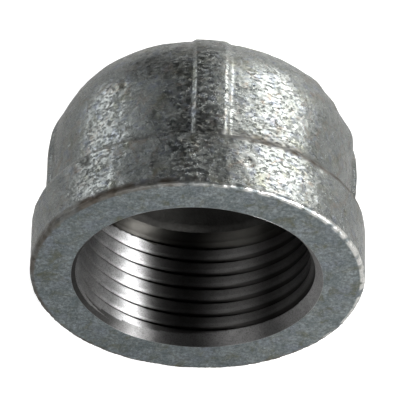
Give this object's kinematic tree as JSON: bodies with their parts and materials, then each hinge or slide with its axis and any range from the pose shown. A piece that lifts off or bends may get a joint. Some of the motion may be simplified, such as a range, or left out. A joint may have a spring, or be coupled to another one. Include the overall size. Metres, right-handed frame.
{
  "type": "pipe cap",
  "caption": "Banded, ribbed pipe cap in galvanised malleable iron, with an internal pipe thread, that closes a pipe end.",
  "frame": {"origin": "centre of the open mouth, where the thread's axis crosses the plane of the mouth face", "axes": "-Y along the thread's axis, out of the mouth, the way the pipe leaves; +Y towards the closed crown; ribs at +Z, -Z, +X and -X, so the cap lies on its side with one rib on top"},
  "size_m": [0.045, 0.0323, 0.045],
  "materials": {
    "galvanised_iron": "hot-dip galvanised casting, grainy outside with bright spangle and dull stains; cut thread bright and lightly oiled"
  },
  "bodies": {
    "root": {"cap_body": "galvanised_iron"}
  },
  "joints": []
}
